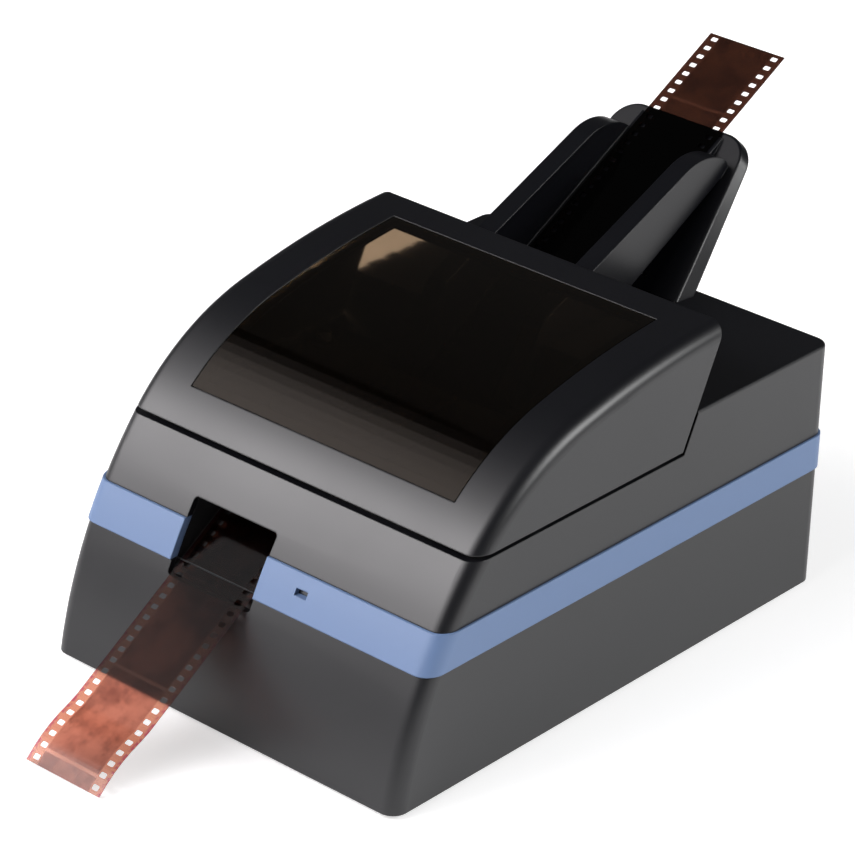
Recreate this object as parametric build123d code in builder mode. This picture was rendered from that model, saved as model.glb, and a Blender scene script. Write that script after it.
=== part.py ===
from build123d import *
from math import acos, cos, radians, sin, sqrt, tan
import os

os.makedirs("parts", exist_ok=True)

# A desktop scanner for strips of 35 mm negative film.
# X is to the right, Y to the back and Z up.  The origin lies on the table, on the
# case's centre line, midway between the front and the rear tip of the film.
# A "setback" is a distance behind the front foot, a "height" one above the underside.

# ------------------------------------------------------------------ case sizes, mm
case_width = 161.6
case_depth = 231.9
wall = 2.4
corner_radius = 6.0
foot_height = 2.0
housing_height = 47.2
band_height = 13.4
band_proud = 0.8
parting_groove = 0.5
deck_height = 96.5
deck_edge_radius = 1.2
notch_width = 39.0
notch_low = 42.0
notch_high = 67.5

# The side outline is three tangent arcs through these points.
parting_setback = 15.0
seam_setback = 37.6
seam_height = 82.4
brow_setback = 90.4
brow_height = 115.6
crown_setback = 166.8
crown_height = 126.1

# ------------------------------------------------------------------ hood sizes
seam_gap = 1.5
hood_wall = 3.0
hood_foot_setback = 146.3
window_side = 20.05
window_width = case_width - 2 * window_side
window_rise = 11.05
window_low_setback = seam_setback + window_rise
window_high_setback = 152.9
window_thickness = 1.6
window_gap = 0.3
window_ledge = 4.0

# ------------------------------------------------------------------ film and its path
film_x = -17.7
film_width = 35.0
film_thickness = 0.2
film_pitch = 4.75
perforation_width = 2.8
perforation_length = 1.98
perforation_span = 28.18
frames_in = 5
frames_out = 3.25
holes_per_frame = 8
film_gap = 0.3
path_height = 66.0
feed_angle = 28.4
chute_rise = 46.1
feed_top_setback = 268.2
feed_top_height = deck_height + chute_rise
feed_film_reach = 40.2
exit_angle = 32.7
exit_end_setback = 47.1
exit_end_height = 65.5

# ------------------------------------------------------------------ feed chute
channel_half = 19.0
rail_thickness = 8.2
channel_length = 149.6
rail_end_setback = 12.0
plate_angle = 42.0
plate_top_half = 29.0
plate_flare = 8.7
plate_corner = 11.0
plate_thickness = 3.4
plate_draft = 2.2
chute_clearance = 0.8
chute_half = channel_half + rail_thickness

# ------------------------------------------------------------------ places
film_front_setback = exit_end_setback - frames_out * holes_per_frame * film_pitch * cos(radians(exit_angle))
film_rear_setback = feed_top_setback + feed_film_reach * cos(radians(feed_angle))
origin_setback = (film_front_setback + film_rear_setback) / 2


def back(setback):
    """Y of a distance behind the case's front foot."""
    return setback - origin_setback


def up(height):
    """Z of a height above the case's underside."""
    return foot_height + height


half_width = case_width / 2
band_top = housing_height + band_height
rear_y = back(case_depth)
notch_x = film_x
far = 2 * case_depth


def lean_y(height):
    """Y of the hood's slanted rear edge at a height."""
    rise = (height - seam_height) / (crown_height - seam_height)
    return back(hood_foot_setback + rise * (crown_setback - hood_foot_setback))


# ------------------------------------------------------------------ the case's outline
foot_point = (back(0), up(0))
parting_point = (back(parting_setback), up(housing_height))
seam_point = (back(seam_setback), up(seam_height))
brow_point = (back(brow_setback), up(brow_height))
crown_point = (back(crown_setback), up(crown_height))
deck_front_point = (lean_y(deck_height), up(deck_height))
deck_rear_point = (rear_y, up(deck_height))

with BuildLine() as outline:
    front_arc = ThreePointArc(foot_point, parting_point, seam_point)
    brow_arc = TangentArc(seam_point, brow_point, tangent=front_arc % 1)
    crown_arc = TangentArc(brow_point, crown_point, tangent=brow_arc % 1)


def front_y(height, inset=0.0):
    """Y of the front arc at a height, moved inwards by an inset."""
    centre = front_arc.arc_center
    reach = front_arc.radius - inset
    return centre.X - sqrt(reach**2 - (up(height) - centre.Y) ** 2)


def top_z(y, inset=0.0):
    """Z of the hood's brow or crown arc at a Y, moved inwards by an inset."""
    arc = brow_arc if y < brow_point[0] else crown_arc
    centre = arc.arc_center
    return centre.Y + sqrt((arc.radius - inset) ** 2 - (y - centre.X) ** 2)


def case_solid(inset):
    """The whole case and hood as one block, shrunk evenly by an inset."""
    with BuildPart() as block:
        with BuildSketch(Plane.YZ):
            with BuildLine():
                add(outline.line)
                Polyline(crown_point, deck_front_point, deck_rear_point, (rear_y, up(0)), foot_point)
            make_face()
            if inset:
                offset(amount=-inset, kind=Kind.INTERSECTION)
        extrude(amount=half_width - inset, both=True)
        upright = block.edges().filter_by(GeomType.CIRCLE) + block.edges().filter_by(Axis.Z)
        fillet(upright, max(corner_radius - inset, 1.0))
    return block.part


def open_solid(inset):
    """As case_solid, but running on past the hood's open back and below its seam."""
    run_on = 30.0
    tangent = crown_arc % 1
    past = (crown_point[0] + run_on * tangent.X, crown_point[1] + run_on * tangent.Y)
    with BuildPart() as block:
        with BuildSketch(Plane.YZ):
            with BuildLine():
                add(outline.line)
                Polyline(crown_point, past, (past[0], up(0)), foot_point)
            make_face()
            offset(amount=-inset, kind=Kind.INTERSECTION)
        extrude(amount=half_width - inset, both=True)
        along = block.edges() - block.edges().filter_by(Axis.X)
        fillet(along, max(corner_radius - inset, 1.0))
    return block.part


def shell_between(outer, inner, low, high):
    """What lies between two blocks and between two heights."""
    with BuildPart() as band:
        add(outer)
        add(inner, mode=Mode.SUBTRACT)
        with BuildSketch(Plane.XY.offset(up(low))):
            Rectangle(far, far)
        extrude(amount=high - low, mode=Mode.INTERSECT)
    return band.part


def across(start, end, centre):
    """The place of a round bar along X between two X values."""
    return Location(((start + end) / 2, centre[0], centre[1]), (0, 90, 0))


def write(piece, name):
    """Labels a finished piece and writes it as its own file."""
    piece.part.label = name
    export_step(piece.part, "parts/" + name + ".step")


# ------------------------------------------------------------------ mechanism sizes
frame_half = 30.0
frame_sheet = 2.0
frame_top = 75.4
frame_front_setback = 52.6
frame_rear_setback = 131.6
frame_flange = 9.0
shaft_radius = 2.0
pinch_shaft_radius = 1.5
running_gap = 0.05
bush_radius = 3.6
bush_flange = 0.8
drive_radius = 6.0
pinch_radius = 4.2
nip_gap = 0.3
exit_nip_setback = 59.6
entrance_nip_setback = 122.6
tyre_width = 7.0
tyre_offset = 13.0
drive_height = path_height - nip_gap - drive_radius
pinch_height = path_height + film_thickness + nip_gap + pinch_radius

frame_floor = 6.0
frame_screw_setbacks = (66.0, 118.0)
frame_flange_x = frame_half + frame_sheet + frame_flange / 2
frame_screw_places = [
    (film_x + side * frame_flange_x, back(s)) for side in (-1, 1) for s in frame_screw_setbacks
]
pulley_start = film_x + frame_half + frame_sheet + 1.2
pulley_width = 5.0
gear_module = 0.8
gear_teeth = 30
pinion_teeth = 12
gear_width = 5.0
gear_start = pulley_start + pulley_width + 1.5
motor_down_angle = 50.0
centre_distance = gear_module * (gear_teeth + pinion_teeth) / 2
motor_y = back(entrance_nip_setback) - centre_distance * cos(radians(motor_down_angle))
motor_z = up(drive_height) - centre_distance * sin(radians(motor_down_angle))
shaft_end = gear_start + gear_width + 1.0
bracket_x = shaft_end + 2.0
bracket_sheet = 2.0
bracket_places = [(bracket_x + 7.0, motor_y + dy) for dy in (-10.0, 10.0)]
floor_boss_places = frame_screw_places + bracket_places

boss_side = 9.3
boss_x = half_width - boss_side
front_boss_setback = 49.0
rear_boss_setback = 217.6
boss_radius = 4.2
screw_radius = 1.5
screw_clearance = 1.7
screw_head_radius = 2.9
screw_head_height = 2.2
counterbore_radius = 3.3
counterbore_depth = 30.0
boss_places = [(x, back(s)) for x in (-boss_x, boss_x) for s in (front_boss_setback, rear_boss_setback)]

tray_drop = 6.4
tray_low = seam_height - tray_drop
tray_thickness = 2.0
tray_screw_side = 6.8
tray_screw_setbacks = (70.0, 132.0)
tray_gap = 0.5
ledge_width = 4.0
ledge_thickness = 2.0

# ------------------------------------------------------------------ hinge of the hood
hinge_setback = 41.1
hinge_height = 68.5
hinge_side = 20.8
hinge_x = half_width - hinge_side
arm_thickness = 5.0
arm_hub_radius = 4.2
arm_radius = 17.0
arm_section = 3.6
ear_thickness = 2.4
ear_gap = 0.3
pin_radius = 2.0
hinge_point = (back(hinge_setback), up(hinge_height))
ear_offset = arm_thickness / 2 + ear_gap + ear_thickness / 2

# ------------------------------------------------------------------ boards and sockets
board_height = 10.0
board_thickness = 1.6
usb_x = 30.0
jack_side = 25.8
jack_x = half_width - jack_side
switch_side = 32.8
switch_x = switch_side - half_width
switch_height = 24.0
switch_width = 19.0
switch_tall = 13.0
standoff_radius = 3.0

# ------------------------------------------------------------------ shared blocks
block_proud = case_solid(-band_proud)
block_outer = case_solid(0)
block_half = case_solid(wall / 2)
block_inner = case_solid(wall)
block_tray = case_solid(wall + tray_gap)
block_ledge = case_solid(wall + ledge_width)
block_window = case_solid(window_thickness)
hood_hollow = open_solid(hood_wall)

# ------------------------------------------------------------------ lower housing
shell_low = shell_between(block_outer, block_inner, 0, housing_height - parting_groove)
lip_low = shell_between(block_half, block_inner, housing_height - parting_groove, housing_height)
board_posts = [(x, back(s)) for x in (-58.0, 58.0) for s in (152.0, 206.0)]
sensor_posts = [(film_x + x, back(91.1 + y)) for x in (-18.0, 18.0) for y in (-16.0, 16.0)]
sensor_height = 14.0
foot_x = 72.5
foot_radius = 6.0
foot_places = [(x, back(s)) for x in (-foot_x, foot_x) for s in (20.0, 202.6)]
foot_recess = 0.6

with BuildPart() as lower_housing:
    add(shell_low)
    add(lip_low)
    # columns for the long case screws, from the floor to the parting line
    with BuildSketch(Plane.XY.offset(up(wall / 2))):
        with Locations(*boss_places):
            Circle(boss_radius)
            Rectangle(2 * (half_width - wall - boss_x) + wall, 2.0)
    extrude(amount=housing_height - wall / 2)
    with BuildSketch(Plane.XY.offset(up(wall / 2))):
        with Locations(*board_posts):
            Circle(standoff_radius)
    extrude(amount=board_height - wall / 2)
    with BuildSketch(Plane.XY.offset(up(wall / 2))):
        with Locations(*sensor_posts):
            Circle(standoff_radius)
    extrude(amount=sensor_height - wall / 2)
    with BuildSketch(Plane.XY.offset(up(wall / 2))):
        with Locations(*floor_boss_places):
            Circle(4.0)
    extrude(amount=frame_floor - wall / 2)
    with BuildSketch(Plane.XY.offset(up(frame_floor))):
        with Locations(*floor_boss_places):
            Circle(screw_radius)
    extrude(amount=-3.0, mode=Mode.SUBTRACT)
    with BuildSketch(Plane.XY.offset(up(0))):
        with Locations(*boss_places):
            Circle(counterbore_radius)
    extrude(amount=counterbore_depth, mode=Mode.SUBTRACT)
    with BuildSketch(Plane.XY.offset(up(0))):
        with Locations(*boss_places):
            Circle(screw_clearance)
    extrude(amount=housing_height, mode=Mode.SUBTRACT)
    with BuildSketch(Plane.XY.offset(up(0))):
        with Locations(*foot_places):
            Circle(foot_radius + 0.1)
    extrude(amount=foot_recess, mode=Mode.SUBTRACT)
    # the film's way out through the front
    with BuildSketch(Plane.XZ.offset(-back(wall + parting_setback))):
        with Locations((notch_x, up(notch_low + housing_height / 2))):
            RectangleRounded(notch_width, housing_height, 1.5)
    extrude(amount=parting_setback + 2 * wall, mode=Mode.SUBTRACT)
    # sockets, switch and vents in the back
    with BuildSketch(Plane.XZ.offset(-rear_y - 1)):
        with Locations((usb_x, up(board_height + board_thickness + 5.5))):
            Rectangle(12.6, 11.6)
        with Locations((jack_x, up(board_height + board_thickness + 5.5))):
            Circle(4.3)
        with Locations((switch_x, up(switch_height))):
            Rectangle(switch_width, switch_tall)
        with Locations((-4.0, up(30.0))):
            with GridLocations(5.0, 0, 9, 1):
                SlotOverall(16.0, 2.2, rotation=90)
    extrude(amount=wall + 2, mode=Mode.SUBTRACT)
write(lower_housing, "lower_housing")

# ------------------------------------------------------------------ blue band
light_x = 20.65
light_height = 54.9
light_width = 5.3
light_tall = 2.35
band_wall = shell_between(block_proud, block_inner, housing_height, band_top)

with BuildPart() as blue_band:
    add(band_wall)
    with BuildSketch(Plane.XZ.offset(-back(parting_setback + 5 * wall))):
        with Locations((notch_x, up(notch_low + housing_height / 2))):
            Rectangle(notch_width, housing_height)
        with Locations((light_x, up(light_height))):
            Rectangle(light_width, light_tall)
    extrude(amount=parting_setback + 10 * wall, mode=Mode.SUBTRACT)
write(blue_band, "blue_band")

# ------------------------------------------------------------------ upper cover
cover_top = seam_height - seam_gap / 2
step_low = tray_low - ledge_thickness
step_gap = 1.6
step_sheet = 2.7
ledge_ring = shell_between(block_half, block_ledge, step_low, tray_low)
ear_outline = [
    (back(25.9), up(63.5)), (back(41.6), up(63.0)), (back(45.6), up(66.0)),
    (back(45.6), up(70.0)), (back(43.1), up(73.0)), (back(31.6), up(73.0)),
]
ear_places = [(side * hinge_x + way * ear_offset) for side in (-1, 1) for way in (-1, 1)]
tray_screw_x = half_width - tray_screw_side
tray_screw_places = [(x, back(s)) for x in (-tray_screw_x, tray_screw_x) for s in tray_screw_setbacks]
chute_opening_front = 143.0
chute_opening_back = 192.6
chute_screw_setback = 222.6
chute_screw_places = [(film_x + x, back(chute_screw_setback)) for x in (-20.0, 20.0)]


def step_y(height):
    """Y of the upper cover's step, just behind the hood's slanted rear edge."""
    return lean_y(height) + step_gap


with BuildPart() as step_wall:
    with BuildSketch(Plane.YZ):
        Polygon(
            (step_y(step_low), up(step_low)),
            (step_y(step_low) + step_sheet, up(step_low)),
            (step_y(deck_height - 1) + step_sheet, up(deck_height - 1)),
            (step_y(deck_height - 1), up(deck_height - 1)),
            align=None,
        )
    extrude(amount=half_width, both=True)
    add(block_half, mode=Mode.INTERSECT)

with BuildPart() as cover_ledge:
    add(ledge_ring)
    with BuildSketch(Plane.YZ):
        with Locations((back(0), up(tray_low))):
            Rectangle(2 * (step_y(step_low) + 1 - back(0)), 30)
    extrude(amount=half_width, both=True, mode=Mode.INTERSECT)

with BuildPart() as upper_cover:
    add(block_outer)
    add(block_inner, mode=Mode.SUBTRACT)
    with BuildSketch(Plane.YZ):
        Polygon(
            (-far, up(band_top)),
            (far, up(band_top)),
            (far, up(deck_height + 9)),
            (step_y(deck_height + 9), up(deck_height + 9)),
            (step_y(cover_top), up(cover_top)),
            (-far, up(cover_top)),
            align=None,
        )
    extrude(amount=half_width + 1, both=True, mode=Mode.INTERSECT)
    fillet(upper_cover.edges().group_by(Axis.Z)[-1], deck_edge_radius)
    add(step_wall.part)
    add(cover_ledge.part)
    # screw columns down to the parting line, tied to the side walls
    with BuildSketch(Plane.XY.offset(up(housing_height + 0.1))):
        with Locations(*boss_places[::2]):
            Circle(boss_radius)
    extrude(amount=step_low + 1 - housing_height)
    with BuildSketch(Plane.XY.offset(up(housing_height + 0.1))):
        with Locations(*boss_places[1::2]):
            Circle(boss_radius)
    extrude(amount=deck_height - 1 - housing_height)
    with BuildSketch(Plane.XY.offset(up(band_top + 1))):
        for x, y in boss_places:
            with Locations((x * (half_width - 1.5 + boss_x) / 2 / boss_x, y)):
                Rectangle(half_width - 1.5 - boss_x, 2.0)
    extrude(amount=step_low - band_top)
    with BuildSketch(Plane.XY.offset(up(tray_low - 9))):
        with Locations(*tray_screw_places):
            Rectangle(8.4, 6.0)
    extrude(amount=9)
    # ears for the hood's hinge pins
    for x in ear_places:
        with BuildSketch(Plane.YZ.offset(x)):
            Polygon(*ear_outline, align=None)
        extrude(amount=ear_thickness / 2, both=True)
    with BuildSketch(Plane.YZ.offset(-hinge_x - 10)):
        with Locations(hinge_point):
            Circle(pin_radius)
    extrude(amount=2 * hinge_x + 20, mode=Mode.SUBTRACT)
    # slots that the hinge arms swing through
    with BuildSketch(Plane.XY.offset(up(step_low - 1))):
        with Locations((-hinge_x, back(50.6)), (hinge_x, back(50.6))):
            Rectangle(arm_thickness + 3.0, 22.0)
    extrude(amount=ledge_thickness + 1, mode=Mode.SUBTRACT)
    with BuildSketch(Plane.XY.offset(up(housing_height))):
        with Locations(*boss_places):
            Circle(screw_radius)
    extrude(amount=24, mode=Mode.SUBTRACT)
    with BuildSketch(Plane.XY.offset(up(tray_low - 7))):
        with Locations(*tray_screw_places):
            Circle(screw_radius)
    extrude(amount=9, mode=Mode.SUBTRACT)
    # opening in the deck and the step for the feed chute
    with BuildSketch(Plane.XY.offset(up(step_low - 1))):
        with Locations((film_x, back((chute_opening_front + chute_opening_back) / 2))):
            Rectangle(2 * (chute_half + chute_clearance), chute_opening_back - chute_opening_front)
    extrude(amount=deck_height, mode=Mode.SUBTRACT)
    with BuildSketch(Plane.XY.offset(up(deck_height - 5))):
        with Locations(*chute_screw_places):
            Circle(screw_clearance)
    extrude(amount=8, mode=Mode.SUBTRACT)
    with BuildSketch(Plane.XZ.offset(-back(parting_setback + 8 * wall))):
        with Locations((notch_x, up(notch_high - housing_height / 2))):
            RectangleRounded(notch_width, housing_height, 1.5)
    extrude(amount=parting_setback + 10 * wall, mode=Mode.SUBTRACT)
write(upper_cover, "upper_cover")

# ------------------------------------------------------------------ inner tray
lens_setback = 91.1
tray_back_setback = 144.0
lamp_opening_x = 30.0
lamp_opening_y = 42.0

with BuildPart() as inner_tray:
    add(block_tray)
    with BuildSketch(Plane.XY.offset(up(tray_low))):
        with Locations((0, back(tray_back_setback) - far / 2)):
            Rectangle(far, far)
    extrude(amount=tray_thickness, mode=Mode.INTERSECT)
    with BuildSketch(Plane.XY.offset(up(tray_low - 1))):
        with Locations((-hinge_x, back(50.6)), (hinge_x, back(50.6))):
            Rectangle(arm_thickness + 3.0, 22.0)
        with Locations((film_x, back(lens_setback))):
            Rectangle(lamp_opening_x, lamp_opening_y)
        with Locations((film_x, back(tray_back_setback))):
            Rectangle(2 * (chute_half + chute_clearance), 24)
        with Locations(*tray_screw_places):
            Circle(screw_clearance)
    extrude(amount=tray_thickness + 2, mode=Mode.SUBTRACT)
write(inner_tray, "inner_tray")

# ------------------------------------------------------------------ hood and window
def window_block(grow):
    """A block through the hood's top between the window's ends, grown on every side."""
    low = (back(window_low_setback), top_z(back(window_low_setback)))
    high = (back(window_high_setback), top_z(back(window_high_setback)))
    ends = []
    for point, arc, way in ((low, brow_arc, -1), (high, crown_arc, 1)):
        centre = arc.arc_center
        normal = ((point[0] - centre.X) / arc.radius, (point[1] - centre.Y) / arc.radius)
        place = (point[0] + way * grow * normal[1], point[1] - way * grow * normal[0])
        inner = (place[0] - 6 * normal[0], place[1] - 6 * normal[1])
        outer = (place[0] + 4 * normal[0], place[1] + 4 * normal[1])
        ends.append((inner, outer))
    sky = up(crown_height + 20)
    with BuildPart() as block:
        with BuildSketch(Plane.YZ):
            Polygon(
                ends[0][0], ends[0][1], (ends[0][1][0], sky),
                (ends[1][1][0], sky), ends[1][1], ends[1][0], align=None,
            )
        extrude(amount=window_width / 2 + grow, both=True)
    return block.part


rebate_block = window_block(window_gap)
sight_block = window_block(-window_ledge)
pane_block = window_block(0)

with BuildPart() as rebate:
    add(rebate_block)
    add(block_window, mode=Mode.SUBTRACT)

with BuildPart() as hood_shell:
    add(block_outer)
    add(hood_hollow, mode=Mode.SUBTRACT)
    with BuildSketch(Plane.YZ):
        Polygon(
            (-far, up(seam_height + seam_gap / 2)),
            (lean_y(seam_height + seam_gap / 2), up(seam_height + seam_gap / 2)),
            (lean_y(crown_height + 9), up(crown_height + 9)),
            (-far, up(crown_height + 9)),
            align=None,
        )
    extrude(amount=half_width + 1, both=True, mode=Mode.INTERSECT)
    add(rebate.part, mode=Mode.SUBTRACT)
    add(sight_block, mode=Mode.SUBTRACT)
write(hood_shell, "hood_shell")

with BuildPart() as hood_window:
    add(block_outer)
    add(block_window, mode=Mode.SUBTRACT)
    add(pane_block, mode=Mode.INTERSECT)
write(hood_window, "hood_window")

# ------------------------------------------------------------------ hinge arms and pins
pad_length = 9.0
pad_thickness = 3.2
pad_width = 9.0
brow_centre = brow_arc.arc_center
pad_setback = 46.8
pad_y = back(pad_setback)
pad_reach = brow_arc.radius - hood_wall
pad_rise = acos((brow_centre.X - pad_y) / pad_reach)
pad_normal = Vector(0, cos(pad_rise), -sin(pad_rise))
pad_point = Vector(0, brow_centre.X - pad_reach * cos(pad_rise), brow_centre.Y + pad_reach * sin(pad_rise))


def polar(radius, angle):
    """A (Y, Z) point about the hinge pin, the angle measured from the back upwards."""
    turn = radians(angle)
    return (hinge_point[0] + radius * cos(turn), hinge_point[1] + radius * sin(turn))


def hinge_arm(x):
    """A gooseneck arm from the hinge pin to the hood's inner face."""
    inner = arm_radius - arm_section / 2
    outer = arm_radius + arm_section / 2
    pad_plane = Plane(
        origin=pad_point + Vector(x, 0, 0), x_dir=(1, 0, 0), z_dir=(0, pad_normal.Y, pad_normal.Z)
    )
    with BuildPart() as arm:
        with BuildSketch(Plane.YZ.offset(x - arm_thickness / 2)):
            with Locations(hinge_point):
                Circle(arm_hub_radius)
            Polygon(
                polar(2.0, 90), polar(inner + 1, 2), polar(outer, 1),
                polar(outer, -8), polar(inner + 1, -9), polar(2.0, -90), align=None,
            )
            with BuildLine():
                ThreePointArc(polar(outer, -8), polar(outer, 30), polar(outer, 74))
                Line(polar(outer, 74), polar(inner, 74))
                ThreePointArc(polar(inner, 74), polar(inner, 30), polar(inner, -8))
                Line(polar(inner, -8), polar(outer, -8))
            make_face()
        extrude(amount=arm_thickness)
        with BuildSketch(pad_plane.offset(-1)):
            Rectangle(pad_width, pad_length)
        extrude(amount=pad_thickness + 1)
        with BuildSketch(Plane.YZ.offset(x - arm_thickness / 2)):
            Polygon(
                polar(inner, 60), polar(outer, 60), polar(outer + 3, 76), polar(outer + 2, 88),
                polar(inner, 80), align=None,
            )
        extrude(amount=arm_thickness)
        add(hood_hollow, mode=Mode.INTERSECT)
        with BuildSketch(Plane.YZ.offset(x - arm_thickness)):
            with Locations(hinge_point):
                Circle(pin_radius + running_gap)
        extrude(amount=2 * arm_thickness, mode=Mode.SUBTRACT)
    return arm


hinge_arm_left = hinge_arm(-hinge_x)
hinge_arm_right = hinge_arm(hinge_x)
write(hinge_arm_left, "hinge_arm_left")
write(hinge_arm_right, "hinge_arm_right")

pin_reach = ear_offset + ear_thickness / 2 + 0.6
with BuildPart() as hinge_pins:
    for x in (-hinge_x, hinge_x):
        with Locations(across(x - pin_reach, x + pin_reach, hinge_point)):
            Cylinder(pin_radius, 2 * pin_reach)
write(hinge_pins, "hinge_pins")

# four soft buffers that the closed hood rests on
buffer_side = 2.5
buffer_x = half_width - buffer_side
buffer_setbacks = (70.0, 134.0)
buffer_places = [(x, back(s)) for x in (-buffer_x, buffer_x) for s in buffer_setbacks]
with BuildPart() as hood_buffers:
    with BuildSketch(Plane.XY.offset(up(cover_top))):
        with Locations(*buffer_places):
            Rectangle(1.8, 6.0)
    extrude(amount=seam_gap)
write(hood_buffers, "hood_buffers")

# ------------------------------------------------------------------ feed chute
slope_cos = cos(radians(feed_angle))
slope_sin = sin(radians(feed_angle))
feed_origin = (film_x, back(feed_top_setback), up(feed_top_height))
feed_plane = Plane(origin=feed_origin, x_dir=(1, 0, 0), z_dir=(0, -slope_sin, slope_cos))
rail_plane = Plane(origin=feed_origin, x_dir=(0, slope_cos, slope_sin), z_dir=(1, 0, 0))
plate_cos = cos(radians(plate_angle))
plate_sin = sin(radians(plate_angle))
plate_front = Plane(origin=feed_origin, x_dir=(1, 0, 0), z_dir=(0, -plate_sin, plate_cos))
rear_angle = radians(plate_angle + 2.5)
plate_rear = Plane(
    origin=Vector(*feed_origin) - plate_front.z_dir * plate_thickness,
    x_dir=(1, 0, 0),
    z_dir=(0, -sin(rear_angle), cos(rear_angle)),
)
plate_length = 84.0
track_width = 3.0
track_height = 0.9
rail_top = [
    (-channel_length, 3.0), (-117.0, 20.9), (-88.0, 18.8), (-55.0, 15.7), (-31.8, 13.6),
]


def plate_outline(wider):
    """The half-rounded outline of the chute's back plate, its top edge on local Y = 0."""
    with BuildSketch() as face:
        with BuildLine():
            Polyline(
                (-plate_top_half - wider, 0),
                (plate_top_half + wider, 0),
                (plate_top_half + wider + plate_flare * plate_length / 62.6, -plate_length),
                (-plate_top_half - wider - plate_flare * plate_length / 62.6, -plate_length),
                close=True,
            )
        make_face()
        fillet(face.vertices().group_by(Axis.Y)[-1], plate_corner + wider / 2)
    return face.sketch


front_face = plate_front * plate_outline(0)
rear_face = plate_rear * plate_outline(plate_draft)

with BuildPart() as back_plate:
    add(front_face)
    add(rear_face)
    loft()
    # the plate stands on the deck
    with BuildSketch(Plane.XY.offset(up(deck_height))):
        Rectangle(far * 2, far * 2)
    extrude(amount=deck_height, mode=Mode.INTERSECT)
    fillet(back_plate.edges().group_by(Axis.Z)[-1], 1.0)

with BuildPart() as film_chute:
    with BuildSketch(rail_plane.offset(-chute_half)):
        with BuildLine():
            Polyline((-rail_end_setback, -4.0), (-channel_length, -4.0), *rail_top)
            ThreePointArc(rail_top[-1], (-20.0, 9.6), (-rail_end_setback, 0.6))
            Line((-rail_end_setback, 0.6), (-rail_end_setback, -4.0))
        make_face()
    extrude(amount=2 * chute_half)
    outer_corners = film_chute.edges().filter_by(lambda e: abs(e.center().X - film_x) > chute_half - 0.01)
    end_edges = outer_corners.sort_by(Axis.Y)[-2:]
    # the channel that the film lies in, with a raised track along each side
    with BuildSketch(rail_plane.offset(-channel_half)):
        with Locations((-channel_length / 2, 25.0 - track_height)):
            Rectangle(channel_length + 20, 50.0)
    extrude(amount=2 * channel_half, mode=Mode.SUBTRACT)
    with BuildSketch(rail_plane.offset(-channel_half)):
        with Locations((-(channel_length + 3) / 2, -2.4)):
            Rectangle(channel_length - 3, 3.2)
    extrude(amount=2 * channel_half)
    for side in (-1, 1):
        with BuildSketch(rail_plane.offset(side * (channel_half - track_width / 2) - track_width / 2)):
            with Locations((-(channel_length + 3) / 2, -1.0)):
                Rectangle(channel_length - 3, 2.0)
        extrude(amount=track_width)
    # rails are hollow from below
    for side in (-1, 1):
        middle = side * (channel_half + rail_thickness / 2)
        with BuildSketch(rail_plane.offset(middle - rail_thickness / 2 + 1.8)):
            Polygon(
                (-channel_length + 30, -4.0), (-channel_length + 34, 17.0), (-88.0, 16.6),
                (-55.0, 13.5), (-33.0, 11.6), (-33.0, -4.0), align=None,
            )
        extrude(amount=rail_thickness - 3.6, mode=Mode.SUBTRACT)
    add(back_plate.part)
    with BuildSketch(Plane.XY.offset(up(deck_height))):
        with Locations(*chute_screw_places):
            Circle(screw_radius)
    extrude(amount=4.0, mode=Mode.SUBTRACT)
write(film_chute, "film_chute")

# ------------------------------------------------------------------ film


def film_strip(plane, frames, end_margin):
    """A strip of film on a plane, its outer end at local Y = end_margin."""
    length = frames * holes_per_frame * film_pitch
    with BuildPart() as strip:
        with BuildSketch(plane):
            with Locations((0, end_margin - length / 2)):
                Rectangle(film_width, length)
            with Locations((0, end_margin - length / 2)):
                with GridLocations(perforation_span, film_pitch, 2, round(frames * holes_per_frame)):
                    Rectangle(perforation_width, perforation_length, mode=Mode.SUBTRACT)
        extrude(amount=film_thickness)
    return strip


exit_cos = cos(radians(exit_angle))
exit_sin = sin(radians(exit_angle))
exit_plane = Plane(
    origin=(film_x, back(exit_end_setback), up(exit_end_height)),
    x_dir=(1, 0, 0),
    z_dir=(0, -exit_sin, exit_cos),
)
film_in = film_strip(feed_plane.offset(film_gap), frames_in, feed_film_reach)
film_out = film_strip(exit_plane, frames_out, 0.0)
write(film_in, "film_in")
write(film_out, "film_out")

# ------------------------------------------------------------------ film exit throat
throat_wall = 1.5
throat_back_setback = 48.6
floor_drop = 1.8
floor_slope = tan(radians(exit_angle))


def throat_floor(setback, drop):
    """Height of the throat's floor, a little below the film."""
    return exit_end_height - floor_drop - drop - (exit_end_setback - setback) * floor_slope


def throat_outline(grow):
    """Side outline of the throat, its walls grown outwards."""
    return [
        (back(6.0), up(throat_floor(6.0, grow))),
        (back(throat_back_setback), up(throat_floor(throat_back_setback, grow))),
        (back(throat_back_setback), up(notch_high + grow)),
        (back(6.0), up(notch_high + grow)),
    ]


with BuildPart() as exit_throat:
    with BuildSketch(Plane.YZ.offset(notch_x - notch_width / 2 - throat_wall)):
        Polygon(*throat_outline(throat_wall), align=None)
    extrude(amount=notch_width + 2 * throat_wall)
    with BuildSketch(Plane.YZ.offset(notch_x - notch_width / 2)):
        Polygon(*throat_outline(0), align=None)
    extrude(amount=notch_width, mode=Mode.SUBTRACT)
    with BuildSketch(Plane.YZ.offset(notch_x)):
        with Locations((back(throat_back_setback + 5), up(notch_low))):
            Rectangle(10, 100)
    extrude(amount=notch_width, both=True, mode=Mode.SUBTRACT)
    add(block_inner, mode=Mode.INTERSECT)
write(exit_throat, "exit_throat")

# ------------------------------------------------------------------ status light
light_setback_in = front_y(light_height, wall) + 2.6

with BuildPart() as light_flange:
    with BuildSketch(Plane.XZ.offset(-light_setback_in)):
        with Locations((light_x, up(light_height))):
            Rectangle(light_width + 4, light_tall + 4)
    extrude(amount=20)
    add(block_inner, mode=Mode.INTERSECT)

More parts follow.
